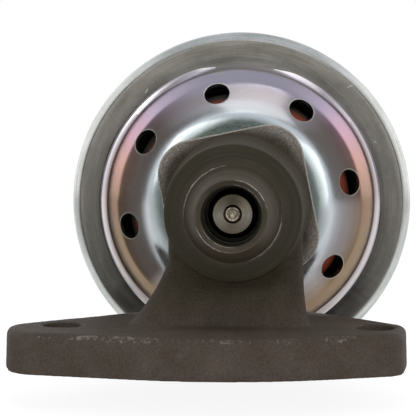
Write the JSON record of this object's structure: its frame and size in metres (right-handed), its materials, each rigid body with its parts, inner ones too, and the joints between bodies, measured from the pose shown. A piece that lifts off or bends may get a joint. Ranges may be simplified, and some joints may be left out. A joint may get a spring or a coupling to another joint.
{
  "type": "egr valve",
  "caption": "Vacuum-operated exhaust gas recirculation valve: cast-iron body with two-bolt flange, tapered inlet nose, sprung pintle and a vented, crimped diaphragm housing.",
  "frame": {"origin": "centre of the mounting bolt pattern, on the mounting face", "axes": "+Z away from the manifold, +Y along the stem from the inlet to the vacuum nipple, +X across the bolts"},
  "size_m": [0.0887, 0.0943, 0.0804],
  "materials": {
    "cast_iron_body": "sand-cast iron, phosphate-dark, machined nose",
    "hard_steel": "turned stainless steel",
    "seat_steel": "turned hard steel, sooted",
    "guide_bronze": "sintered bronze",
    "packing": "graphite packing",
    "gasket_sheet": "pressed fibre sheet",
    "zinc_dichromate": "pressed steel, iridescent yellow zinc plate",
    "cover_steel": "pressed steel, bare zinc grey",
    "plain_steel": "pressed and turned steel, zinc plated",
    "spring_steel": "oil-hardened spring wire",
    "diaphragm_rubber": "fabric-reinforced orange-red rubber"
  },
  "bodies": {
    "housing": {"valve_body": "cast_iron_body", "valve_seat": "seat_steel", "stem_guide": "guide_bronze", "stem_seal": "packing", "seal_retainer": "plain_steel", "body_gasket": "gasket_sheet", "lower_shell": "zinc_dichromate", "shell_screws": "plain_steel", "lock_washers": "plain_steel", "diaphragm": "diaphragm_rubber", "return_spring": "spring_steel", "upper_cover": "cover_steel", "vacuum_nipple": "plain_steel"},
    "valve": {"valve_stem": "hard_steel", "pintle": "hard_steel", "gas_deflector": "plain_steel", "stem_collar": "plain_steel", "lower_plate": "plain_steel", "piston_cup": "plain_steel", "stem_washer": "plain_steel"}
  },
  "joints": [
    {"name": "valve_lift", "type": "slide", "parent": "housing", "child": "valve", "axis": [0, 1, 0], "range_m": [0, 0.006], "stiffness_N_per_m": 2900, "springref_m": -0.008, "deforming": ["return_spring", "diaphragm"]}
  ]
}
